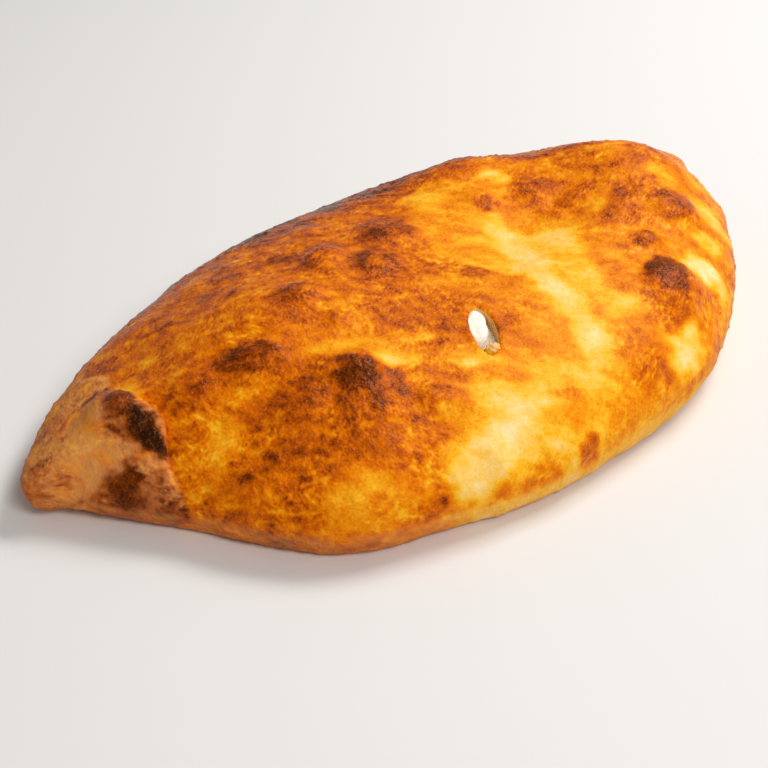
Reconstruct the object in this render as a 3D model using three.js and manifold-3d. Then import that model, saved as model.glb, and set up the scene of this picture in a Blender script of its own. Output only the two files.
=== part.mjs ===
// A large baked calzone: one closed dough crust, folded over at its pointed end and pleated at its
// blunt end, with a small steam vent through which the soft white cheese filling shows.
// Millimetres, +Z up. The calzone lies along X, rests on its flat underside at z = 0 and is centred
// on the origin.

import * as THREE from 'three';
import { mergeVertices } from 'three/addons/utils/BufferGeometryUtils.js';
import Module from 'manifold-3d';

// ---------------------------------------------------------------- driving dimensions

const CRUST_THICKNESS = 5;      // baked dough, top and bottom
const FILLING_GAP = 0.3;        // clearance between the filling and the crust around it
const CROWN_HEIGHT = 47;        // height of the top before its mounds and hollows
const END_DROP = 22;            // how much lower the top is at the pointed end
const FRONT_DROP = 10;          // how much lower the top is at the long front edge
const FOOT_TUCK = 0.62;         // how far the foot lies inside the side, as a share of its height
const SHOULDER = 3;             // power that keeps the top full before it rolls over the side
const TIP_LIFT = 3;             // how far the folded tip stands off the table
const FOLD_RISE = 6;            // height of the folded-over end above the dough it lies on
const FOLD_SLOPE = 3;           // how wide the step at the fold's edge is
const FOLD_FADE = { over: 42, by: 0.8 };             // along X, how it thins towards the tip
const FOLD_DIES = { from: 2, over: 16, by: 0.85 };   // along Y, where the step flattens out
const TIP_DOUGH = 14;           // extra solid dough in the folded tip

// Where the side is widest, anticlockwise from the pointed tip: x, y and height.
const SIDE_LINE = [
  [-155, 5, 13], [-141, -6, 11], [-117, -32, 12], [-85, -69, 13], [-47, -79.5, 13],
  [-5, -82.5, 12], [39, -75.5, 12], [80, -62.5, 13], [115, -37, 15], [140.5, -8, 17],
  [152, 21, 22], [145, 49, 28], [111, 72, 30], [59, 86, 28], [5, 89, 25],
  [-45, 82, 20], [-87, 67, 15], [-120, 48, 13], [-143, 26, 12],
];
const MIDDLE = new THREE.Vector2(1, 3);   // the point that the skins are laid out around
const LEAST_SLANT = 0.4;                  // keeps the dough from thinning where rays graze the side

// Broad mounds and hollows of the top: x, y, two radii, turn in degrees, rise.
const MOUNDS = [
  [124, 31, 38, 27, -35, 18],    // the puffed blunt end
  [60, 67, 24, 18, 0, 9],        // swelling along the back
  [49, 11, 40, 18, 20, -6],      // hollow beside the vent
  [-63, 9, 46, 30, 15, 5],       // swelling before the fold
  [109, -5, 26, 18, -50, 4],     // front of the blunt end
  [-125, -3, 13, 15, 0, 3],      // dome of the folded-over end
];

// The larger blisters that stand up from the skin: x, y, radius, rise.
const BLISTERS = [
  [80, -43, 14, 4], [111, -3, 12, 2.5], [-51, -31, 14, 3.5], [45, -65, 14, 2], [-8, 22, 16, 1.5],
];

// Pleats pinched along the seam: place along the side line (0 to 1), half width, stand-out and
// height above the side line.
const PLEATS = [
  [0.5, 0.013, 2, 4], [0.558, 0.015, 8, 9], [0.61, 0.014, 4, 3], [0.66, 0.014, 4, 3],
  [0.71, 0.014, 4, 3], [0.76, 0.014, 3.5, 3], [0.81, 0.014, 3.5, 3],
];
const PLEAT_DEPTH = 7;          // how far up and down the side a pleat reaches

// Steam vent: place, half width, half length and turn of its slit.
const VENT = { x: -2.5, y: -35.5, halfWidth: 4.7, halfLength: 10.8, turn: -22, depth: 26 };
const CURD = { clearance: 0.7, height: 9, below: 1.4 };   // the filling that wells up in the vent

// How finely each skin is faceted: sectors round, rings on the top, side and underside. Sectors
// lie closer together towards the pleated end.
const OUTSIDE = { sectors: 120, top: 15, side: 5, under: 1 };
const INSIDE = { sectors: 72, top: 10, side: 4, under: 1 };
const CLOSER = { at: 0.53, by: 0.5 };

// ---------------------------------------------------------------- the shape of the dough

const sideCurve = new THREE.CatmullRomCurve3(
  SIDE_LINE.map(([x, y, z]) => new THREE.Vector3(x, y, z)), true, 'catmullrom', 0.5);

const bell = (distance, width) => Math.exp(-((distance / width) ** 2));
const ease = (value) => THREE.MathUtils.smoothstep(value, 0, 1);

// Height of the plain top at (x, y).
function crown(x, y) {
  let height = CROWN_HEIGHT;
  height -= END_DROP * THREE.MathUtils.clamp((-x - 53) / 100, 0, 1.2) ** 1.6;
  height -= FRONT_DROP * THREE.MathUtils.clamp((-y + 4) / 80, 0, 1.2) ** 1.5;
  for (const [cx, cy, rx, ry, turn, rise] of MOUNDS) {
    const a = THREE.MathUtils.degToRad(turn);
    const along = ((x - cx) * Math.cos(a) + (y - cy) * Math.sin(a)) / rx;
    const across = ((y - cy) * Math.cos(a) - (x - cx) * Math.sin(a)) / ry;
    height += rise * Math.exp(-(along ** 2) - across ** 2);
  }
  return height;
}

// The folded-over end: a step across the calzone that fades out towards the tip.
const foldEdge = (y) => -118 + 5 * bell(y + 8, 10) + 3 * bell(y - 27, 6);

function fold(x, y) {
  const past = foldEdge(y) - x;
  const rise = FOLD_RISE * (1 - FOLD_DIES.by * ease((y - FOLD_DIES.from) / FOLD_DIES.over));
  return rise * ease(past / FOLD_SLOPE + 0.5) * (1 - FOLD_FADE.by * ease(past / FOLD_FADE.over));
}

const blisters = (x, y) => BLISTERS.reduce((sum, [cx, cy, radius, rise]) =>
  sum + rise * bell(Math.hypot(x - cx, y - cy), radius * 0.75), 0);

const lift = (x) => TIP_LIFT * ease((-x - 112) / 34);

// How far the side stands out at a place along it and a height above the side line.
const pleats = (t, height) => PLEATS.reduce((sum, [at, width, out, above]) =>
  sum + out * bell(t - at, width) * bell(height - above, PLEAT_DEPTH), 0);

const sectorPlace = (u) => THREE.MathUtils.euclideanModulo(
  u - CLOSER.by * Math.sin(2 * Math.PI * (u - CLOSER.at)) / (2 * Math.PI), 1);

// Shares of the way from the middle to the rim at which the top's rings lie.
const ringPlaces = (count) => Array.from({ length: count }, (_, k) =>
  Math.sin(((k + 1) / count) * Math.PI / 2));

// The same shares, with two rings moved to straddle the fold's step where the way crosses it.
function ringsAtFold(rim, count) {
  const places = ringPlaces(count);
  const pastFold = (s) => {
    const p = MIDDLE.clone().lerp(rim, s);
    return foldEdge(p.y) - p.x;
  };
  const first = places.findIndex((s) => pastFold(s) > 0);
  if (first < 1 || first > count - 2) return places;
  let low = places[first - 1];
  let high = places[first];
  for (let n = 0; n < 20; n++) {
    const half = (low + high) / 2;
    if (pastFold(half) > 0) high = half;
    else low = half;
  }
  const step = FOLD_SLOPE / 2 / rim.distanceTo(MIDDLE);
  if (high + step < places[first + 1]) {
    places[first - 1] = high - step;
    places[first] = high + step;
  }
  return places;
}

// One closed skin, set in from the outside by the given amount. The outside skin also carries the
// fold, the blisters and the pleats.
function skin({ sectors, top, side, under }, inset) {
  const outside = inset === 0;
  const rings = [];
  for (let i = 0; i < sectors; i++) {
    const t = sectorPlace(i / sectors);
    const edge = sideCurve.getPoint(t);
    const along = sideCurve.getTangent(t).setZ(0).normalize();
    const out = new THREE.Vector2(along.y, -along.x);
    const ray = new THREE.Vector2(edge.x, edge.y).sub(MIDDLE);
    const length = ray.length();
    ray.normalize();
    const slant = Math.max(LEAST_SLANT, ray.dot(out));  // of the side to the ray
    const extra = outside ? 0 : TIP_DOUGH * bell(edge.x + 155, 26);
    const tuck = FOOT_TUCK * edge.z / slant;
    const rim = MIDDLE.clone().addScaledVector(ray, length - inset / slant - extra);
    const column = [];
    const places = outside ? ringsAtFold(rim, top) : ringPlaces(top);
    for (const s of places) {                           // from the middle out to the rim
      const p = MIDDLE.clone().lerp(rim, s);
      let height = crown(p.x, p.y) - inset;
      if (outside) height += fold(p.x, p.y) + blisters(p.x, p.y);
      column.push([p, edge.z + (height - edge.z) * Math.sqrt(Math.max(0, 1 - s ** SHOULDER))]);
    }
    for (let k = 1; k <= side; k++) {                   // down the side to the foot
      const a = (k / side) * Math.PI / 2;
      const p = rim.clone().addScaledVector(ray, -tuck * (1 - Math.cos(a)));
      const bottom = inset + lift(p.x);
      column.push([p, bottom + (edge.z - bottom) * (1 - Math.sin(a))]);
    }
    const foot = rim.clone().addScaledVector(ray, -tuck);
    for (let k = 1; k <= under; k++) {                  // across the underside
      const p = foot.clone().lerp(MIDDLE, k / (under + 3));
      column.push([p, inset + lift(p.x)]);
    }
    if (outside) {
      for (const entry of column) {
        entry[0].addScaledVector(out, pleats(t, entry[1] - edge.z));
      }
    }
    rings.push(column);
  }

  const positions = [];
  const rows = rings[0].length;
  for (const column of rings) for (const [p, z] of column) positions.push(p.x, p.y, z);
  const crownCentre = positions.length / 3;
  positions.push(MIDDLE.x, MIDDLE.y, crown(MIDDLE.x, MIDDLE.y) - inset);
  positions.push(MIDDLE.x, MIDDLE.y, inset);
  const faces = [];
  for (let i = 0; i < sectors; i++) {
    const a = i * rows;
    const b = ((i + 1) % sectors) * rows;
    faces.push(crownCentre, a, b);
    for (let k = 0; k < rows - 1; k++) {
      faces.push(a + k, a + k + 1, b + k + 1, a + k, b + k + 1, b + k);
    }
    faces.push(crownCentre + 1, b + rows - 1, a + rows - 1);
  }
  const geometry = new THREE.BufferGeometry();
  geometry.setAttribute('position', new THREE.Float32BufferAttribute(positions, 3));
  geometry.setIndex(faces);
  return geometry;
}

// ---------------------------------------------------------------- joining and cutting

const wasm = await Module();
wasm.setup();

function toSolid(geometry) {
  geometry.deleteAttribute('normal');
  geometry.deleteAttribute('uv');
  const merged = mergeVertices(geometry, 1e-5);
  return new wasm.Manifold(new wasm.Mesh({
    numProp: 3,
    vertProperties: new Float32Array(merged.attributes.position.array),
    triVerts: new Uint32Array(merged.index.array),
  }));
}

function toGeometry(solid) {
  const mesh = solid.getMesh();
  const geometry = new THREE.BufferGeometry();
  geometry.setAttribute('position', new THREE.Float32BufferAttribute(mesh.vertProperties, 3));
  geometry.setIndex(Array.from(mesh.triVerts));
  return geometry;
}

function placeAtVent(geometry, z) {
  geometry.rotateZ(THREE.MathUtils.degToRad(VENT.turn));
  geometry.translate(VENT.x, VENT.y, z);
  return geometry;
}

// ---------------------------------------------------------------- crust and filling

function makeCrust() {
  const slit = new THREE.CylinderGeometry(1, 1, VENT.depth, 28).rotateX(Math.PI / 2);
  slit.scale(VENT.halfWidth, VENT.halfLength, 1);
  placeAtVent(slit, crown(VENT.x, VENT.y) + VENT.depth / 2 - 2 * CRUST_THICKNESS);
  return toSolid(skin(OUTSIDE, 0))
    .subtract(toSolid(skin(INSIDE, CRUST_THICKNESS)))
    .subtract(toSolid(slit));
}

function makeFilling() {
  const curd = new THREE.SphereGeometry(1, 20, 12).rotateX(Math.PI / 2);
  curd.scale(VENT.halfWidth - CURD.clearance, VENT.halfLength - CURD.clearance, CURD.height);
  placeAtVent(curd, crown(VENT.x, VENT.y) - CURD.below - CURD.height);
  return toSolid(skin(INSIDE, CRUST_THICKNESS + FILLING_GAP)).add(toSolid(curd));
}

const crustMaterial = new THREE.MeshStandardMaterial({
  name: 'baked dough', color: 0xd98a2b, roughness: 0.5, metalness: 0,
});
const fillingMaterial = new THREE.MeshStandardMaterial({
  name: 'ricotta and mozzarella', color: 0xf7f1e2, roughness: 0.4, metalness: 0,
});

const crust = new THREE.Mesh(toGeometry(makeCrust()), crustMaterial);
crust.name = 'crust';
const filling = new THREE.Mesh(toGeometry(makeFilling()), fillingMaterial);
filling.name = 'filling';

// The group is centred on the crust's box, with its underside at z = 0.
const calzone = new THREE.Group();
calzone.add(crust, filling);
crust.geometry.computeBoundingBox();
const box = crust.geometry.boundingBox;
calzone.position.set(-(box.min.x + box.max.x) / 2, -(box.min.y + box.max.y) / 2, -box.min.z);
calzone.updateMatrixWorld(true);

export default calzone;
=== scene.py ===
"""A large baked calzone with a browned, blistered crust and a steam vent that shows its cheese filling.

Everything is worked out in millimetres in the crust's own frame and turned to metres in the row frame,
with +X from the folded tip to the pleated end and +Z up.
"""

import math

import bpy
import numpy as np
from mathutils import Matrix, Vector, kdtree, noise


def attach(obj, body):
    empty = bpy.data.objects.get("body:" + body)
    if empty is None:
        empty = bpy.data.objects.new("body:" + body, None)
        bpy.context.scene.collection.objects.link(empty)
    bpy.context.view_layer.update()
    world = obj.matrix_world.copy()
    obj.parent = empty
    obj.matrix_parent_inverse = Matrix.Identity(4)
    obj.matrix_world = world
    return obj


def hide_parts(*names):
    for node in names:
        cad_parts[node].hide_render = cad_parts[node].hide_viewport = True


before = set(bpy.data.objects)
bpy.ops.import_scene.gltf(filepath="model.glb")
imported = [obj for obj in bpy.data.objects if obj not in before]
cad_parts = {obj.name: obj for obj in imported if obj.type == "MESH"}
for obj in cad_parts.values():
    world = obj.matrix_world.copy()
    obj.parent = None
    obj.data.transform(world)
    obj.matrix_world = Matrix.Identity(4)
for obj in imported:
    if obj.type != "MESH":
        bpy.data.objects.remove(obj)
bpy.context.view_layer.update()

# ------------------------------------------------------------------ camera
# A short telephoto looks down at the calzone from the front left, as someone would who is about to
# sit down to it. The distance keeps the far end only a little smaller than the near one.
MM = 0.001
CAMERA_PLACE = Vector((-302.8, -425.5, 336.6)) * MM
CAMERA_TARGET = Vector((-13.0, 4.2, 0.0)) * MM

lens = bpy.data.cameras.new("camera")
lens.sensor_width = 36.0
lens.lens = 79.2
lens.clip_start = 0.05
camera = bpy.data.objects.new("camera", lens)
camera.location = CAMERA_PLACE
camera.rotation_euler = (CAMERA_TARGET - CAMERA_PLACE).to_track_quat("-Z", "Y").to_euler()
bpy.context.scene.collection.objects.link(camera)
bpy.context.scene.camera = camera

# ------------------------------------------------------------------ the crust's shape
# A round of wheat dough stretched by hand to about 5 mm, folded over its filling, pinched shut along
# the back and turned over on itself at the pointed end. Steam puffs it up in the oven and raises
# blisters in its skin. Its underside bakes flat on the stone.
CRUST_THICKNESS = 5.0
MIDDLE = np.array([1.0, 3.0])  # the point that the skins are laid out around

# Where the side is widest, anticlockwise from the pointed tip: x, y and height.
SIDE_LINE = np.array([
    (-155, 5, 13), (-141, -6, 11), (-117, -32, 12), (-85, -69, 13), (-47, -79.5, 13),
    (-5, -82.5, 12), (39, -75.5, 12), (80, -62.5, 13), (115, -37, 15), (140.5, -8, 17),
    (152, 21, 22), (145, 49, 28), (111, 72, 30), (59, 86, 28), (5, 89, 25),
    (-45, 82, 20), (-87, 67, 15), (-120, 48, 13), (-143, 26, 12),
], float)

# Broad mounds and hollows of the top: x, y, two radii, turn in degrees, rise.
MOUNDS = (
    (124, 31, 38, 27, -35, 18),  # the puffed blunt end
    (60, 67, 24, 18, 0, 9),      # swelling along the back
    (49, 11, 40, 18, 20, -6),    # hollow beside the vent
    (-63, 9, 46, 30, 15, 5),     # swelling before the fold
    (109, -5, 26, 18, -50, 4),   # front of the blunt end
    (-125, -3, 13, 15, 0, 3),    # dome of the folded-over end
)

# Pleats pinched along the seam: place along the side line, half width, stand-out, height above it.
PLEATS = (
    (0.500, 0.013, 2.0, 4), (0.558, 0.015, 8.0, 9), (0.610, 0.014, 4.0, 3), (0.660, 0.014, 4.0, 3),
    (0.710, 0.014, 4.0, 3), (0.760, 0.014, 3.5, 3), (0.810, 0.014, 3.5, 3),
)

PLEAT_HEIGHT = 7.0

# Blisters: x, y, two radii, turn, rise. The tall ones are the ones that the oven burns first.
BLISTERS = (
    (80, -40, 14, 11, 35, 5.0), (111, -4, 12, 9, -20, 2.6), (88, -17, 6, 5, 0, 2.2),
    (90, 2, 6, 5, 0, 1.4), (-98, -5, 9, 8, 0, 2.6), (-77, -11, 11, 7, -20, 2.4),
    (-52, -31, 10, 7, -10, 4.2), (-55, -44, 12, 9, 0, 2.0), (-74, -33, 14, 9, 30, 2.0),
    (-27, 27, 10, 8, 40, 2.2), (-12, 15, 10, 8, 50, 2.4), (4, 33, 10, 12, 60, 2.4),
    (-48, 7, 7, 7, 0, 2.0), (14, -8, 9, 8, 0, 1.4), (72, 32, 8, 7, 0, 1.6), (50, 37, 7, 7, 0, 1.6),
    (68, 17, 4, 4, 0, 1.2), (82, 20, 6, 4, 0, 1.2), (46, -62, 13, 8, 20, 2.2), (-33, -55, 8, 6, -30, 1.6),
    (-27, -75, 5, 4, 0, 1.2), (4, -86, 6, 4, 0, 1.2), (-44, -11, 5, 4, 0, 1.2), (30, 45, 9, 7, 0, 1.0),
    (-122, 6, 9, 11, 0, 2.5), (-22, 48, 12, 7, 60, 1.4), (101, -34, 8, 6, 0, 1.2),
)

# The steam vent, an oval cut through the top.
VENT_CUT = 12.0  # how far the cut reaches below and above the skin
VENT = {"x": -2.5, "y": -35.5, "half_width": 4.7, "half_length": 10.8, "turn": -22.0}


def bell(distance, width):
    return np.exp(-((distance / width) ** 2))


def ease(value):
    value = np.clip(value, 0.0, 1.0)
    return value * value * (3 - 2 * value)


def side_line(place):
    """The closed smooth line through SIDE_LINE at places from 0 to 1."""
    count = len(SIDE_LINE)
    along = np.mod(place, 1.0) * count
    first = np.floor(along).astype(int) % count
    f = (along - np.floor(along))[..., None]
    a, b, c, d = (SIDE_LINE[(first + step) % count] for step in (-1, 0, 1, 2))
    return 0.5 * (2 * b + (c - a) * f + (2 * a - 5 * b + 4 * c - d) * f**2
                  + (3 * b - a - 3 * c + d) * f**3)


def turned(x, y, spot):
    """Distances from a spot (x, y, two radii, turn, ...) in shares of its radii."""
    angle = math.radians(spot[4])
    dx = x - spot[0]
    dy = y - spot[1]
    return ((dx * math.cos(angle) + dy * math.sin(angle)) / spot[2],
            (dy * math.cos(angle) - dx * math.sin(angle)) / spot[3])


CROWN_HEIGHT = 47.0
FALL_TO_TIP = {"start": -53.0, "over": 100.0, "by": 22.0, "power": 1.6}
FALL_TO_FRONT = {"start": 4.0, "over": 80.0, "by": 10.0, "power": 1.5}
FALL_LIMIT = 1.2


def crown(x, y):
    """Height of the plain top."""
    to_tip = np.clip((FALL_TO_TIP["start"] - x) / FALL_TO_TIP["over"], 0, FALL_LIMIT)
    to_front = np.clip((FALL_TO_FRONT["start"] - y) / FALL_TO_FRONT["over"], 0, FALL_LIMIT)
    height = CROWN_HEIGHT - FALL_TO_TIP["by"] * to_tip ** FALL_TO_TIP["power"]
    height = height - FALL_TO_FRONT["by"] * to_front ** FALL_TO_FRONT["power"]
    for mound in MOUNDS:
        along, across = turned(x, y, mound)
        height = height + mound[5] * np.exp(-along**2 - across**2)
    return height


FOLD_PLACE = -118.0
FOLD_LOBES = ((-8, 10, 5), (27, 6, 3))  # y, half width and reach of each lobe of the folded edge
FOLD_RISE = 6.0
FOLD_STEP = 3.0  # how wide the rolled step is
FOLD_FADE = {"over": 42.0, "by": 0.8}
FOLD_DIES = {"start": 2.0, "over": 16.0, "by": 0.85}  # the fold flattens towards the back
LIP = {"push": 2.6, "past": 0.8, "width": 2.2, "y": -8.0, "length": 13.0}  # the lip overhangs a little
TIP_LIFT = {"start": -112.0, "over": 34.0, "by": 3.0}  # the tip curls up off the table


def fold_edge(y):
    """How far along the calzone the edge of the folded-over end lies."""
    return FOLD_PLACE + sum(reach * bell(y - at, width) for at, width, reach in FOLD_LOBES)


def fold(x, y):
    """Rise of the folded-over end: a rolled step that fades out towards the tip."""
    past = fold_edge(y) - x
    rise = FOLD_RISE * (1 - FOLD_DIES["by"] * ease((y - FOLD_DIES["start"]) / FOLD_DIES["over"]))
    return rise * ease(past / FOLD_STEP + 0.5) * (1 - FOLD_FADE["by"] * ease(past / FOLD_FADE["over"]))


def tip_lift(x):
    """How far the underside is off the table."""
    return TIP_LIFT["by"] * ease((TIP_LIFT["start"] - x) / TIP_LIFT["over"])


TIP_DOUGH = {"deep": 14.0, "x": -155.0, "wide": 26.0}  # the tip is solid dough
FOOT_TUCK = 0.62  # how far the foot lies in from the side, in shares of the side's height
LEAST_SLANT = 0.4
TOP_SHARE = 0.86

PLACES = np.arange(4000) / 4000
EDGE = side_line(PLACES)
EDGE_TURN = np.unwrap(np.arctan2(EDGE[:, 1] - MIDDLE[1], EDGE[:, 0] - MIDDLE[0]))


def skin(angle, share, inset):
    """Points of a skin, set in by inset, and how far each counts as pleat.

    angle is the direction from the middle. share runs from 0 in the middle of the top through
    TOP_SHARE at the widest line to 1 at the foot.
    """
    first = EDGE_TURN[0]
    wrapped = first + np.mod(angle - first, 2 * np.pi)
    place = np.interp(wrapped, EDGE_TURN, PLACES, right=1.0)
    edge = side_line(place)
    step = side_line(place + 1e-3) - side_line(place - 1e-3)
    out = np.stack([step[..., 1], -step[..., 0]], -1)
    out /= np.linalg.norm(out, axis=-1, keepdims=True)
    ray = edge[..., :2] - MIDDLE
    length = np.linalg.norm(ray, axis=-1, keepdims=True)
    ray = ray / length
    slant = np.maximum(LEAST_SLANT, (ray * out).sum(-1, keepdims=True))
    tip_dough = 0.0
    if inset:
        tip_dough = TIP_DOUGH["deep"] * bell(edge[..., 0:1] - TIP_DOUGH["x"], TIP_DOUGH["wide"])
    reach = length - inset / slant - tip_dough
    tuck = FOOT_TUCK * edge[..., 2:3] / slant

    along_top = np.clip(share / TOP_SHARE, 0, 1)[..., None]
    s = (8 * along_top - along_top**8) / 7
    down = np.clip((share - TOP_SHARE) / (1 - TOP_SHARE), 0, 1)[..., None] * np.pi / 2
    plan = MIDDLE + ray * (reach * s - tuck * (1 - np.cos(down)))
    x = plan[..., 0:1]
    y = plan[..., 1:2]
    top = crown(x, y) - inset
    if not inset:
        top = top + fold(x, y)
    bottom = inset + tip_lift(x)
    widest = edge[..., 2:3]
    z_top = widest + (top - widest) * np.sqrt(np.clip(1 - s**3, 0, None))
    z_side = bottom + (widest - bottom) * (1 - np.sin(down))
    z = np.where(share[..., None] <= TOP_SHARE, z_top, z_side)
    points = np.concatenate([plan, z], -1)
    if not inset:
        past = fold_edge(plan[..., 1]) - plan[..., 0]
        lip = bell(past - LIP["past"], LIP["width"]) * bell(plan[..., 1] - LIP["y"], LIP["length"])
        points[..., 0] += LIP["push"] * lip
        height = z[..., 0] - widest[..., 0]
        for at, width, stand_out, above in PLEATS:
            push = stand_out * bell(place - at, width) * bell(height - above, PLEAT_HEIGHT)
            points[..., :2] += out * push[..., None]
    return points


GRID_LONG, GRID_WIDE = 384, 212  # about 0.8 mm a cell, so that small blisters are real shape

HALF_SIZE = (156.0, 91.0)


def outside_skin():
    """The outside of the crust down to its foot, as a grid of points."""
    a, b = np.meshgrid(np.linspace(-1, 1, GRID_LONG), np.linspace(-1, 1, GRID_WIDE), indexing="ij")
    disc_x = a * np.sqrt(1 - b**2 / 2)
    disc_y = b * np.sqrt(1 - a**2 / 2)
    share = np.hypot(disc_x, disc_y)
    angle = np.arctan2(disc_y * HALF_SIZE[1], disc_x * HALF_SIZE[0])
    return skin(angle, share, 0.0), share


def noise_at(points, size, seed):
    """Smooth noise of about -1 to 1 with lumps of that size in mm."""
    shift = Vector((seed * 17.3, seed * 5.1, seed * 9.7))
    flat = points.reshape(-1, 3) / size
    return np.array([noise.noise(Vector(p) + shift) for p in flat]).reshape(points.shape[:-1])


def cells_at(points, size, seed):
    """Distance to the nearest cell centre, in shares of the cell size."""
    shift = Vector((seed * 11.9, seed * 3.7, seed * 7.3))
    flat = points.reshape(-1, 3) / size
    near = [noise.voronoi(Vector(p) + shift)[0][0] for p in flat]
    return np.array(near).reshape(points.shape[:-1])


def outward(points):
    """The outward direction at each point of a grid."""
    along = np.gradient(points, axis=0)
    across = np.gradient(points, axis=1)
    normal = np.cross(along, across)
    normal /= np.linalg.norm(normal, axis=-1, keepdims=True) + 1e-12
    return normal if normal[..., 2].mean() > 0 else -normal


def off_foot(share):
    """1 over most of the skin, falling to 0 at the foot, which stays flat on the table."""
    return ease((1.0 - share) / 0.08)


def relief(points, share):
    """How far the skin stands out of the plain shape."""
    x = points[..., 0]
    y = points[..., 1]
    wander = noise_at(points, 9.0, 1) * 1.6
    height = 0.9 * noise_at(points, 26.0, 2) + 0.45 * noise_at(points, 11.0, 3)
    for spot in BLISTERS:
        along, across = turned(x + wander, y - wander, spot)
        height = height + spot[5] * np.exp(-((along**2 + across**2) ** 1.4) * 1.1)
    along, across = turned(x, y, (VENT["x"], VENT["y"], VENT["half_width"], VENT["half_length"],
                                  VENT["turn"]))
    from_vent = np.hypot(along, across)
    height = height + 0.5 * bell(from_vent - 1.3, 0.25) - 0.8 * ease((1.12 - from_vent) / 0.2)
    return height * off_foot(share)


def small_relief(points):
    """The small blisters of the skin, from 0 between them to 1 on them."""
    small = np.clip(1 - 1.5 * cells_at(points, 3.4, 4), 0, 1) ** 1.5
    tiny = np.clip(1 - 1.5 * cells_at(points, 1.9, 5), 0, 1)
    patchy = ease(noise_at(points, 18.0, 6) + 0.6)
    return (0.7 * small + 0.3 * tiny) * (0.35 + 0.65 * patchy)


outside, outside_share = outside_skin()
outside_small = small_relief(outside)
SMALL_RISE = 0.95
standing_out = relief(outside, outside_share) + SMALL_RISE * outside_small * off_foot(outside_share)
outside = outside + outward(outside) * standing_out[..., None]
outside[..., 2] = np.maximum(outside[..., 2], 0.0)


def grid_loop(long, wide):
    """Vertex numbers round the border of a grid, in order."""
    near = [i * wide for i in range(long)]
    right = [(long - 1) * wide + j for j in range(1, wide)]
    far = [i * wide + wide - 1 for i in range(long - 2, -1, -1)]
    left = [j for j in range(wide - 2, 0, -1)]
    return near + right + far + left


def new_object(name, points, faces):
    """A mesh object from points in the crust's millimetres."""
    mesh = bpy.data.meshes.new(name)
    mesh.from_pydata((np.asarray(points) * MM).tolist(), [], faces)
    mesh.update()
    made = bpy.data.objects.new(name, mesh)
    bpy.context.scene.collection.objects.link(made)
    return made


def closed_outside():
    """The outside skin with its flat underside."""
    points = outside.reshape(-1, 3).tolist()
    faces = [(i * GRID_WIDE + j, (i + 1) * GRID_WIDE + j, (i + 1) * GRID_WIDE + j + 1,
              i * GRID_WIDE + j + 1)
             for i in range(GRID_LONG - 1) for j in range(GRID_WIDE - 1)]
    loop = grid_loop(GRID_LONG, GRID_WIDE)
    foot = outside.reshape(-1, 3)[loop]
    before = loop
    for keep in (0.85, 0.55, 0.2):
        ring = foot.copy()
        ring[:, :2] = MIDDLE + (foot[:, :2] - MIDDLE) * keep
        ring[:, 2] = tip_lift(ring[:, 0])
        start = len(points)
        points += ring.tolist()
        ring_numbers = list(range(start, start + len(loop)))
        for k in range(len(loop)):
            n = (k + 1) % len(loop)
            faces.append((before[n], before[k], ring_numbers[k], ring_numbers[n]))
        before = ring_numbers
    points.append([MIDDLE[0], MIDDLE[1], 0.0])
    last = len(points) - 1
    faces += [(before[(k + 1) % len(before)], before[k], last) for k in range(len(before))]
    return new_object("calzone_crust", points, faces)


def closed_rings(name, rings, top, bottom):
    """A closed object from rings of points, each of the same count, between two end points."""
    count = len(rings[0])
    points = [point for ring in rings for point in ring] + [top, bottom]
    faces = []
    for r in range(len(rings) - 1):
        for k in range(count):
            n = (k + 1) % count
            faces.append((r * count + k, (r + 1) * count + k, (r + 1) * count + n, r * count + n))
    last = (len(rings) - 1) * count
    for k in range(count):
        n = (k + 1) % count
        faces.append((len(points) - 2, k, n))
        faces.append((len(points) - 1, last + n, last + k))
    return new_object(name, points, faces)


def closed_inside(name, inset, sectors=160, rings=36):
    """A closed skin of the hollow in the crust, or of the filling in it."""
    share, angle = np.meshgrid(np.arange(1, rings + 1) / rings,
                               np.arange(sectors) / sectors * 2 * np.pi, indexing="ij")
    grid = skin(angle, share, inset)
    top = (MIDDLE[0], MIDDLE[1], float(crown(*MIDDLE)) - inset)
    return closed_rings(name, grid.tolist(), top, (MIDDLE[0], MIDDLE[1], inset))


def by_vent(across, along):
    """The place at distances across and along the vent from its middle."""
    turn = math.radians(VENT["turn"])
    return (VENT["x"] + across * math.cos(turn) - along * math.sin(turn),
            VENT["y"] + across * math.sin(turn) + along * math.cos(turn))


def slit_shape(name, half_width, half_length, low, high, sides=64):
    """A closed oval prism along the vent."""
    points = []
    for z in (low, high):
        for k in range(sides):
            angle = 2 * math.pi * k / sides
            points.append((*by_vent(half_width * math.cos(angle), half_length * math.sin(angle)), z))
    faces = [(k, (k + 1) % sides, sides + (k + 1) % sides, sides + k) for k in range(sides)]
    faces.append(tuple(range(sides - 1, -1, -1)))
    faces.append(tuple(range(sides, 2 * sides)))
    return new_object(name, points, faces)


def combine(piece, other, operation):
    """Joins or cuts piece with other, which is used up."""
    step = piece.modifiers.new("combine", "BOOLEAN")
    step.operation = operation
    step.solver = "MANIFOLD"
    step.object = other
    bpy.context.view_layer.update()
    depsgraph = bpy.context.evaluated_depsgraph_get()
    made = bpy.data.meshes.new_from_object(piece.evaluated_get(depsgraph))
    piece.modifiers.clear()
    made.materials.clear()
    piece.data = made
    bpy.data.objects.remove(other)


crust = closed_outside()
vent_height = float(crown(VENT["x"], VENT["y"]))
combine(crust, closed_inside("hollow", CRUST_THICKNESS), "DIFFERENCE")
combine(crust, slit_shape("slit", VENT["half_width"], VENT["half_length"],
                          vent_height - VENT_CUT, vent_height + VENT_CUT), "DIFFERENCE")

# A torn scrap of dough curls over the vent's near end.
CURL = {"across": 0.5, "along": -9.9, "deep": 1.7, "radii": (2.7, 2.1, 1.6), "lumpy": 0.35}


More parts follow.
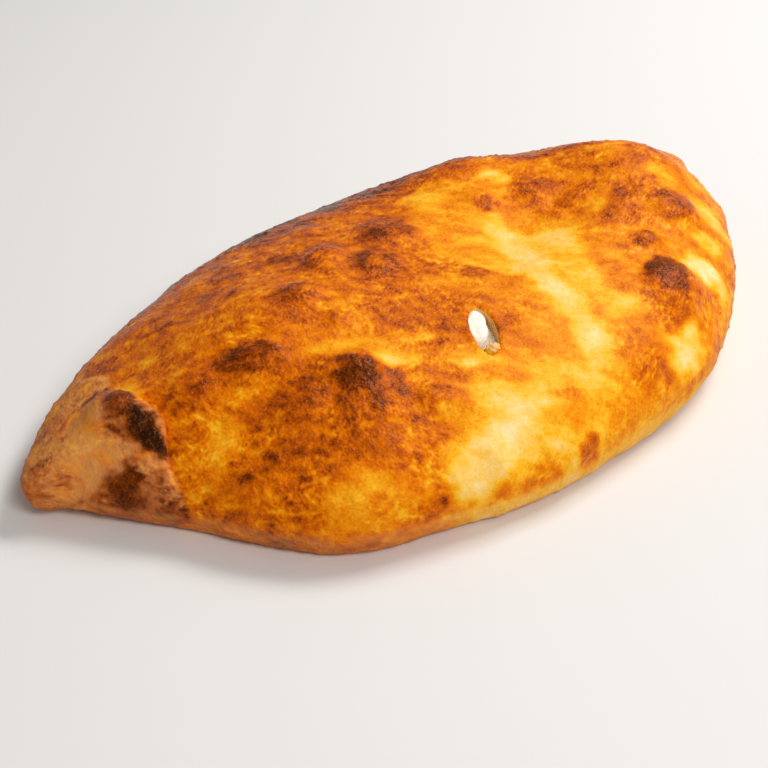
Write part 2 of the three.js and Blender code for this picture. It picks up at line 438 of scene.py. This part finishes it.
def ball(name, place, radii, lumpy):
    """A closed lump with its middle at a place."""
    rows, columns = 20, 32
    rings = []
    for i in range(1, rows):
        ring = []
        for k in range(columns):
            tilt = math.pi * i / rows
            angle = 2 * math.pi * k / columns
            away = Vector((math.sin(tilt) * math.cos(angle), math.sin(tilt) * math.sin(angle),
                           math.cos(tilt)))
            size = 1 + lumpy * noise.noise(away * 2.2)
            ring.append(place + Vector(away[axis] * radii[axis] * size for axis in range(3)))
        rings.append(ring)
    up = Vector((0, 0, radii[2]))
    return closed_rings(name, rings, place + up, place - up)


curl_x, curl_y = by_vent(CURL["across"], CURL["along"])
curl_place = Vector((curl_x, curl_y, float(crown(curl_x, curl_y)) - CURL["deep"]))
combine(crust, ball("curl", curl_place, CURL["radii"], CURL["lumpy"]), "UNION")
for polygon in crust.data.polygons:
    polygon.use_smooth = True

# How brown each place is: 0 raw cream, 0.45 gold, 0.6 orange, 0.8 deep brown, 1 charred.
# Each blotch is x, y, two radii, turn and brownness.
PALE_BLOTCHES = (
    (28, -68, 36, 13, 12, 0.31), (39, 2, 27, 60, -8, 0.37), (8, -64, 46, 20, -8, 0.38),
    (-48, -26, 22, 7, -12, 0.36), (47, 7, 6, 14, -15, 0.22), (41, 2, 7, 18, -10, 0.16),
    (35, -24, 8, 17, 0, 0.17), (33, -48, 9, 11, -20, 0.16), (58, -2, 8, 12, 0, 0.20),
    (50, -22, 7, 14, 0, 0.28), (52, -42, 8, 7, 0, 0.26), (6, -59, 7, 5, 0, 0.25),
    (-8, -66, 12, 9, 0, 0.16), (-18, -60, 8, 6, 0, 0.22), (-38, -76, 9, 6, -10, 0.16),
    (-2, -74, 12, 4, 0, 0.36), (-26, -74, 14, 8, 0, 0.14), (2, -80, 12, 4, 0, 0.27),
    (24, -64, 10, 6, 0, 0.28), (-12, -46, 10, 6, 0, 0.28), (-40, -34, 10, 4, -20, 0.26),
    (-56, -21, 10, 4, -10, 0.28), (-72, -66, 13, 9, 0, 0.36), (30, 49, 7, 8, 0, 0.27),
    (62, 47, 6, 5, 0, 0.10), (100, -35, 8, 8, 0, 0.04), (66, -62, 11, 4, 25, 0.14),
    (138, 13, 6, 12, 0, 0.40), (128, -8, 7, 9, 30, 0.22), (84, 10, 5, 4, 0, 0.36),
    (114, -22, 7, 6, 0, 0.24), (-114, 10, 4, 10, 0, 0.42), (-96, -24, 9, 10, 0, 0.50),
    (-40, -5, 8, 10, 0, 0.50), (3, -10, 8, 9, 0, 0.48), (118, 12, 8, 6, 0, 0.38),
    (69, -17, 5, 9, 0, 0.40), (20, 22, 8, 12, 0, 0.46),
)
BROWN_BLOTCHES = (
    (-70, -40, 24, 24, -20, 0.70), (-62, -45, 15, 14, 0, 0.76), (-72, -30, 12, 9, 0, 0.76),
    (-56, -42, 9, 8, 0, 0.84), (-78, -48, 11, 10, 0, 0.73), (-86, -34, 8, 8, 0, 0.72),
    (-60, -60, 12, 8, 0, 0.68), (-46, -56, 9, 6, 0, 0.68), (-97, -5, 6, 7, 0, 0.76),
    (-80, -9, 11, 7, -20, 0.88), (-70, -18, 8, 5, -20, 0.78), (-52, -35, 8, 7, -10, 0.95),
    (-43, -43, 3, 6, 10, 0.80), (-51, 6, 8, 8, 0, 0.78), (-30, 28, 12, 11, 40, 0.80),
    (-14, 12, 12, 11, 50, 0.83), (2, 33, 11, 13, -40, 0.84), (-22, 50, 12, 5, 60, 0.72),
    (6, 2, 8, 6, 0, 0.70), (15, -8, 8, 6, 0, 0.72), (-27, -8, 10, 7, 0, 0.70),
    (-12, -12, 9, 6, 0, 0.71), (-20, -20, 8, 5, 0, 0.66), (-44, -10, 5, 4, 0, 0.64),
    (7, -33, 5, 5, 0, 0.62), (-34, -54, 9, 5, -30, 0.72), (-27, -48, 8, 4, -30, 0.68),
    (-14, -52, 8, 4, -20, 0.55), (8, -46, 7, 4, -30, 0.56), (18, -48, 7, 3, -30, 0.54),
    (8, -68, 7, 3, -20, 0.52), (9, -82, 6, 3, 0, 0.74), (24, -76, 8, 3, 15, 0.52),
    (48, -63, 12, 10, 15, 0.62), (49, -67, 6, 4, 0, 0.78), (36, -71, 8, 4, 10, 0.54),
    (76, -42, 16, 11, 40, 0.74), (82, -33, 9, 7, 30, 0.96), (78, -42, 8, 6, 40, 0.88),
    (86, -17, 5, 5, 0, 0.84), (88, 0, 8, 7, 0, 0.75), (99, 6, 6, 5, 0, 0.68),
    (111, -4, 9, 8, -20, 0.79), (86, 19, 8, 5, 0, 0.70), (68, 17, 4, 5, 0, 0.70),
    (71, 33, 9, 8, 0, 0.75), (51, 36, 5, 7, 0, 0.79), (32, 20, 6, 3, 0, 0.52),
    (96, 35, 12, 8, 0, 0.67), (103, 25, 7, 5, 0, 0.66), (35, 62, 22, 6, 5, 0.76),
    (54, 60, 8, 6, 0, 0.72), (88, 55, 18, 9, 0, 0.80), (106, 46, 14, 10, 0, 0.76),
    (103, 9, 11, 6, 0, 0.76), (52, 43, 14, 5, 15, 0.52), (22, -16, 6, 5, 0, 0.54),
    (43, -69, 7, 4, 10, 0.66), (-92, 42, 14, 7, 15, 0.68), (-112, 35, 7, 10, 0, 0.83),
    (-70, 52, 14, 6, 15, 0.66), (-50, 62, 16, 6, 10, 0.68), (60, 28, 9, 4, 0, 0.58),
    (66, -50, 9, 5, 20, 0.66), (30, -66, 6, 3, -10, 0.46), (56, 19, 7, 9, 0, 0.50),
    (19, -50, 6, 12, 0, 0.46), (121, 24, 9, 8, 0, 0.68), (74, 50, 9, 5, 0, 0.60),
)
# On the folded-over end the floury outside of the dough shows: a dark rolled lip and scorched spots. It
# also carries a pale band across its middle, partly flour and partly a painted sheen, and a dark blotch
# on its lower, near side that is painted shade.
END_BLOTCHES = (
    (-122, 6, 8, 15, 0, 0.72), (-121, 18, 5, 5, 0, 0.84), (-151, 2, 9, 9, 0, 0.74),
    # (-132, -2) is the pale band of flour and painted sheen; (-133, -17) is painted shade on the lower,
    # near side of the end.
    (-132, -2, 7, 15, -10, 0.50), (-133, -17, 15, 6, -34, 0.87), (-124, -26, 10, 6, -20, 0.80),
    (-136, 22, 9, 6, 20, 0.66), (-121, -3, 7, 10, 0, 0.82), (-116, -11, 5, 10, 0, 0.98),
)


def blotched(brown, x, y, blotches, edge=0.75):
    """Lays soft-edged blotches over the browning."""
    for blotch in blotches:
        along, across = turned(x, y, blotch)
        cover = ease((0.92 + edge / 2 - np.hypot(along, across)) / edge)
        brown = brown + (blotch[5] - brown) * cover
    return brown


def browning(points, small_relief, side):
    """How brown, how floury, at each point of the outside."""
    x = points[:, 0]
    y = points[:, 1]
    streak = np.stack([x * 0.83 - y * 0.56, (x * 0.56 + y * 0.83) * 1.8, points[:, 2] * 1.5], -1)
    broad = noise_at(points, 22.0, 21)
    wave = noise_at(streak, 13.0, 22)
    ripple = noise_at(streak, 5.5, 23)
    grain = noise_at(points, 2.2, 24)
    # Thin pale wisps on the brown: partly pale wrinkles in the skin, partly painted glints.
    wisps_and_glints = bell(noise_at(streak, 6.0, 31), 0.10) + 0.8 * bell(noise_at(streak, 3.0, 32), 0.14)
    wisps_and_glints = wisps_and_glints * ease(noise_at(points, 12.0, 33) * 1.6 + 0.6)
    wander_x = 3.2 * noise_at(points, 11.0, 25) + 1.5 * noise_at(points, 4.5, 26)
    wander_y = 3.2 * noise_at(points, 11.0, 27) + 1.5 * noise_at(points, 4.5, 28)
    px = x + wander_x
    py = y + wander_y
    brown = 0.63 - 0.09 * ease((x - 20) / 60)
    brown = brown + 0.09 * broad
    brown = blotched(brown, px, py, PALE_BLOTCHES, 1.2)
    # The 0.20 rise towards the back edge (y above 46) is painted shade on the far side of the top.
    brown = brown + 0.13 * wave + 0.06 * ripple + 0.20 * ease((y - 46) / 26)
    brown = blotched(brown, px, py, BROWN_BLOTCHES) * 0.8 + brown * 0.2
    end = ease((fold_edge(y) + 1.6 - x) / 2.5 + 0.5)
    end_brown = 0.58 + 0.10 * broad + 0.12 * wave + 0.10 * ripple + 0.08 * grain
    end_brown = blotched(end_brown, px, py, END_BLOTCHES)
    brown = brown + (end_brown - brown) * end
    lively = 0.25 + 0.75 * ease((brown - 0.38) / 0.25)  # fine marks show least where the dough is cream
    lively = lively * (1 - 0.7 * ease((brown - 0.70) / 0.18))
    brown = brown + (0.10 * small_relief + 0.13 * ripple + 0.11 * grain - 0.18 * wisps_and_glints) * lively
    # The side below the widest line: paler at the front and right, where it baked less; darker towards
    # the tip, partly its own browning and partly painted shade; darker along the back, by 0.14 and by
    # less paling, as painted shade.
    rim = ease(side * 4)
    behind = ease((y - 10) / 40)
    rim_brown_and_shade = 0.62 - 0.38 * ease((x + 72) / 42) * (1 - 0.7 * behind) + 0.14 * behind
    rim_brown_and_shade = rim_brown_and_shade + 0.18 * broad + 0.14 * ripple + 0.12 * grain
    rim_brown_and_shade = np.maximum(rim_brown_and_shade, brown * 0.8 * (1 - side))
    brown = brown + (rim_brown_and_shade - brown) * rim * (1 - 0.6 * end)
    under = ease((2.2 - points[:, 2]) / 1.5)
    base_spots = ease(noise_at(points, 16.0, 29) * 2 + 0.3)
    brown = brown + (0.52 + 0.30 * base_spots + 0.10 * grain - brown) * under
    flour = np.maximum(end * (0.75 - 0.6 * ease((brown - 0.6) / 0.25)), 0.5 * rim)
    flour = np.maximum(flour, 0.6 * under)
    flour = flour * ease(0.8 + 0.8 * noise_at(points, 7.0, 30)) * (1 - ease((brown - 0.76) / 0.12))
    return np.clip(brown, 0, 1), np.clip(flour, 0, 1)


def put_values(mesh, name, values, domain="POINT"):
    """Stores one number for each point or face of a mesh."""
    attribute = mesh.attributes.new(name, "FLOAT", domain)
    attribute.data.foreach_set("value", np.asarray(values, np.float32))


def mesh_points(mesh):
    """The points of a mesh in the crust's millimetres."""
    flat = np.empty(len(mesh.vertices) * 3)
    mesh.vertices.foreach_get("co", flat)
    return flat.reshape(-1, 3) / MM


near_skin = kdtree.KDTree(outside.shape[0] * outside.shape[1])
for number, point in enumerate(outside.reshape(-1, 3)):
    near_skin.insert(point, number)
near_skin.balance()
crust_points = mesh_points(crust.data)
nearest = [near_skin.find(point) for point in crust_points]
owner = np.array([found[1] for found in nearest])
away = np.array([found[2] for found in nearest])
side_share = np.clip((outside_share.ravel()[owner] - TOP_SHARE) / (1 - TOP_SHARE), 0, 1)
brown, flour = browning(crust_points, outside_small.ravel()[owner], side_share)
put_values(crust.data, "browning", brown)
put_values(crust.data, "flour", flour)

# Faces that no skin point lies near are the torn dough of the vent's wall and the hollow.
crumb_faces = []
inside_point = (away > 1.6) & (crust_points[:, 2] > 0.5)
for polygon in crust.data.polygons:
    crumb_faces.append(1.0 if any(inside_point[v] for v in polygon.vertices) else 0.0)
put_values(crust.data, "crumb", crumb_faces, "FACE")


def linear(code):
    """A colour as people write it, #rrggbb, as linear light."""
    parts = [int(code[k:k + 2], 16) / 255 for k in (1, 3, 5)]
    return tuple(p / 12.92 if p <= 0.04045 else ((p + 0.055) / 1.055) ** 2.4 for p in parts) + (1.0,)


def add(tree, kind, settings=None, inputs=None):
    """Adds a node with its settings and its values or links."""
    made = tree.nodes.new(kind)
    for name, value in (settings or {}).items():
        setattr(made, name, value)
    for name, value in (inputs or {}).items():
        if isinstance(value, bpy.types.NodeSocket):
            tree.links.new(value, made.inputs[name])
        else:
            made.inputs[name].default_value = value
    return made


def new_material(name):
    """An empty node material with its output."""
    made = bpy.data.materials.new(name)
    made.use_nodes = True
    made.node_tree.nodes.clear()
    output = add(made.node_tree, "ShaderNodeOutputMaterial")
    return made, made.node_tree, output


def set_stops(ramp, stops):
    """Gives a colour ramp its stops: place and colour."""
    while len(ramp.elements) > 1:
        ramp.elements.remove(ramp.elements[-1])
    ramp.elements[0].position = stops[0][0]
    ramp.elements[0].color = stops[0][1]
    for place, colour in stops[1:]:
        ramp.elements.new(place).color = colour


# Baked wheat dough: cream where it stayed soft, gold, orange and brown to black where it blistered,
# with a thin shine of fat where it is brown and dusty tan flour on the folded end and the rim.
dough, tree, output = new_material("baked wheat dough")
browning_value = add(tree, "ShaderNodeAttribute", {"attribute_name": "browning"}).outputs["Fac"]
flour_value = add(tree, "ShaderNodeAttribute", {"attribute_name": "flour"}).outputs["Fac"]
crumb_value = add(tree, "ShaderNodeAttribute", {"attribute_name": "crumb"}).outputs["Fac"]
place = add(tree, "ShaderNodeTexCoord").outputs["Object"]
in_mm = add(tree, "ShaderNodeVectorMath", {"operation": "SCALE"}, {0: place, "Scale": 1 / MM}).outputs[0]
freckle = add(tree, "ShaderNodeTexNoise", {}, {"Vector": in_mm, "Scale": 1 / 1.8, "Detail": 3.0,
                                               "Roughness": 0.6}).outputs["Fac"]
fine = add(tree, "ShaderNodeTexNoise", {}, {"Vector": in_mm, "Scale": 1 / 0.9, "Detail": 4.0,
                                            "Roughness": 0.65}).outputs["Fac"]
freckle_shift = add(tree, "ShaderNodeMath", {"operation": "MULTIPLY_ADD"},
                    {0: freckle, 1: 0.18, 2: -0.09}).outputs[0]
fine_shift = add(tree, "ShaderNodeMath", {"operation": "MULTIPLY_ADD"},
                 {0: fine, 1: 0.26, 2: -0.13}).outputs[0]
both = add(tree, "ShaderNodeMath", {"operation": "ADD"}, {0: freckle_shift, 1: fine_shift}).outputs[0]
brown_here = add(tree, "ShaderNodeMath", {"operation": "ADD", "use_clamp": True},
                 {0: browning_value, 1: both}).outputs[0]
ramp = add(tree, "ShaderNodeValToRGB", {}, {"Fac": brown_here})
set_stops(ramp.color_ramp, (
    (0.00, linear("#fbe0a8")), (0.15, linear("#fbcb6a")), (0.30, linear("#f9b724")),
    (0.45, linear("#ee8b0c")), (0.60, linear("#da6a02")), (0.72, linear("#b65006")),
    (0.82, linear("#823400")), (0.90, linear("#4f1e02")), (1.00, linear("#280f04")),
))
flour_grain = add(tree, "ShaderNodeMath", {"operation": "MULTIPLY_ADD", "use_clamp": True},
                  {0: fine, 1: 3.0, 2: -0.8}).outputs[0]
flour_here = add(tree, "ShaderNodeMath", {"operation": "MULTIPLY"},
                 {0: flour_value, 1: flour_grain}).outputs[0]
floury = add(tree, "ShaderNodeMix", {"data_type": "RGBA"},
             {"Factor": flour_here, "A": ramp.outputs["Color"], "B": linear("#d69c62")}).outputs["Result"]
colour = add(tree, "ShaderNodeMix", {"data_type": "RGBA"},
             {"Factor": crumb_value, "A": floury, "B": linear("#eebb74")}).outputs["Result"]
dull = add(tree, "ShaderNodeMapRange", {}, {"Value": brown_here, "From Min": 0.2, "From Max": 0.8,
                                            "To Min": 0.50, "To Max": 0.26}).outputs["Result"]
rough = add(tree, "ShaderNodeMath", {"operation": "MULTIPLY_ADD", "use_clamp": True},
            {0: flour_value, 1: 0.25, 2: dull}).outputs[0]
fat = add(tree, "ShaderNodeMapRange", {}, {"Value": brown_here, "From Min": 0.5, "From Max": 0.9,
                                           "To Min": 0.08, "To Max": 0.24}).outputs["Result"]
matt = add(tree, "ShaderNodeMapRange", {}, {"Value": flour_value, "From Min": 0.0, "From Max": 0.5,
                                            "To Min": 1.0, "To Max": 0.15}).outputs["Result"]
shine = add(tree, "ShaderNodeMath", {"operation": "MULTIPLY"}, {0: fat, 1: matt}).outputs[0]
pimples = add(tree, "ShaderNodeTexVoronoi", {"feature": "SMOOTH_F1"},
              {"Vector": in_mm, "Scale": 1 / 1.3, "Smoothness": 0.6}).outputs["Distance"]
dents = add(tree, "ShaderNodeMath", {"operation": "MULTIPLY_ADD"},
            {0: pimples, 1: -0.5, 2: freckle}).outputs[0]
bumpy = add(tree, "ShaderNodeMapRange", {}, {"Value": brown_here, "From Min": 0.35, "From Max": 0.65,
                                             "To Min": 0.25, "To Max": 1.0}).outputs["Result"]
bump = add(tree, "ShaderNodeBump", {},
           {"Height": dents, "Strength": bumpy, "Distance": 0.65 * MM}).outputs["Normal"]
surface = add(tree, "ShaderNodeBsdfPrincipled", {}, {
    "Base Color": colour, "Roughness": rough, "IOR": 1.45, "Specular IOR Level": shine,
    "Specular Tint": linear("#ffc088"), "Normal": bump})
tree.links.new(surface.outputs["BSDF"], output.inputs["Surface"])
crust.data.materials.append(dough)

# Puts the crust where the frame's crust stands.
SHIFT = Vector((0.041, -4.850, 0.0)) * MM
crust.location = SHIFT
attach(crust, "root")
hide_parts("crust")

# ------------------------------------------------------------------ the filling
# Soft white ricotta with melted cheese. It fills the hollow and wells up in the vent, where it
# sets as a smooth lumpy curd just under the skin.
FILLING_GAP = 0.4  # between the filling and the crust
filling = closed_inside("calzone_filling", CRUST_THICKNESS + FILLING_GAP)
filling.location = SHIFT


CURD_ROWS, CURD_COLUMNS = 48, 72
CURD_RISE = 4.0       # half its height
CURD_ABOVE = 0.1      # how far its top stands above the skin round the vent
CURD_LEAN = 0.15      # it stands higher towards the vent's right wall
CURD_CLEAR = 0.15     # between it and the vent's wall
CURD_SHORT = 1.8      # stops short of the curl of dough
CURD_ALONG = 1.4
CURD_SEES = 12.0      # the skin this near the vent sets its slope


def skin_round_vent():
    """The plane that lies best through the skin round the vent: height at 0, slope in x, slope in y."""
    points = outside.reshape(-1, 3)
    near = np.hypot(points[:, 0] - VENT["x"], points[:, 1] - VENT["y"]) < CURD_SEES
    near = points[near]
    return np.linalg.lstsq(np.column_stack([np.ones(len(near)), near[:, :2]]), near[:, 2],
                           rcond=None)[0]


def curd(name):
    """The curd in the vent: a flat-topped loaf of two soft lumps, level with the skin round the vent."""
    lie = skin_round_vent()
    rings = []
    for i in range(1, CURD_ROWS):
        ring = []
        for k in range(CURD_COLUMNS):
            tilt = math.pi * i / CURD_ROWS
            angle = 2 * math.pi * k / CURD_COLUMNS
            across = math.sin(tilt) ** 0.35 * math.cos(angle)
            along = math.sin(tilt) ** 0.35 * math.sin(angle)
            up = math.copysign(abs(math.cos(tilt)) ** 0.4, math.cos(tilt))
            waist = 1 - 0.10 * math.exp(-((along + 0.1) / 0.16) ** 2)
            u = across * (VENT["half_width"] - CURD_CLEAR) * waist
            v = CURD_ALONG + along * (VENT["half_length"] - CURD_SHORT)
            dimple = 0.35 * noise.noise(Vector((u * 0.45, v * 0.30, 3.0)))
            x, y = by_vent(u, v)
            level = lie[0] + lie[1] * x + lie[2] * y + CURD_ABOVE + CURD_LEAN * u - CURD_RISE
            ring.append((x, y, level + up * CURD_RISE * (0.94 + 0.06 * waist) + max(up, 0) * dimple))
        rings.append(ring)
    top = lie[0] + lie[1] * VENT["x"] + lie[2] * VENT["y"] + CURD_ABOVE
    return closed_rings(name, rings, (VENT["x"], VENT["y"], top),
                        (VENT["x"], VENT["y"], top - 2 * CURD_RISE))


combine(filling, curd("curd"), "UNION")
for polygon in filling.data.polygons:
    polygon.use_smooth = True

# Ricotta curd: nearly white with warmer patches through its grain, moist, so it has a soft shine.
ricotta, tree, output = new_material("ricotta")
place = add(tree, "ShaderNodeTexCoord").outputs["Object"]
in_mm = add(tree, "ShaderNodeVectorMath", {"operation": "SCALE"}, {0: place, "Scale": 1 / MM}).outputs[0]
grain = add(tree, "ShaderNodeTexNoise", {},
            {"Vector": in_mm, "Scale": 1 / 1.6, "Detail": 3.0}).outputs["Fac"]
tint = add(tree, "ShaderNodeMix", {"data_type": "RGBA"},
           {"Factor": grain, "A": linear("#fdeed2"), "B": linear("#fffaf0")}).outputs["Result"]
bump = add(tree, "ShaderNodeBump", {},
           {"Height": grain, "Strength": 0.5, "Distance": 0.4 * MM}).outputs["Normal"]
surface = add(tree, "ShaderNodeBsdfPrincipled", {}, {
    "Base Color": tint, "Roughness": 0.35, "IOR": 1.36, "Subsurface Weight": 0.3,
    "Subsurface Scale": 2 * MM, "Normal": bump})
tree.links.new(surface.outputs["BSDF"], output.inputs["Surface"])
filling.data.materials.append(ricotta)
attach(filling, "root")
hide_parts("filling")

# ------------------------------------------------------------------ floor and light
# A plain pale surface and soft studio lights, a stronger one on the right and a weaker one in front.
floor_mesh = bpy.data.meshes.new("floor")
floor_mesh.from_pydata([(-3, -3, 0), (3, -3, 0), (3, 3, 0), (-3, 3, 0)], [], [(0, 1, 2, 3)])
floor = bpy.data.objects.new("floor", floor_mesh)
bpy.context.scene.collection.objects.link(floor)
paper, tree, output = new_material("pale paper")
surface = add(tree, "ShaderNodeBsdfPrincipled", {}, {
    "Base Color": linear("#e9e6e2"), "Roughness": 0.7, "Specular IOR Level": 0.2})
tree.links.new(surface.outputs["BSDF"], output.inputs["Surface"])
floor_mesh.materials.append(paper)


def area_light(name, place, size, power):
    """A soft rectangular light aimed at the calzone."""
    light = bpy.data.lights.new(name, "AREA")
    light.shape = "RECTANGLE"
    light.size = size[0]
    light.size_y = size[1]
    light.energy = power
    made = bpy.data.objects.new(name, light)
    made.location = place
    made.rotation_euler = (-Vector(place)).to_track_quat("-Z", "Y").to_euler()
    bpy.context.scene.collection.objects.link(made)


area_light("right", (0.75, 0.1, 0.95), (0.6, 0.4), 10.5)
area_light("front", (-0.15, -1.0, 0.95), (0.5, 0.4), 8.0)
world = bpy.data.worlds.new("studio")
world.use_nodes = True
world.node_tree.nodes["Background"].inputs["Color"].default_value = (1, 1, 1, 1)
world.node_tree.nodes["Background"].inputs["Strength"].default_value = 0.26
bpy.context.scene.world = world
bpy.context.scene.view_settings.view_transform = "Standard"
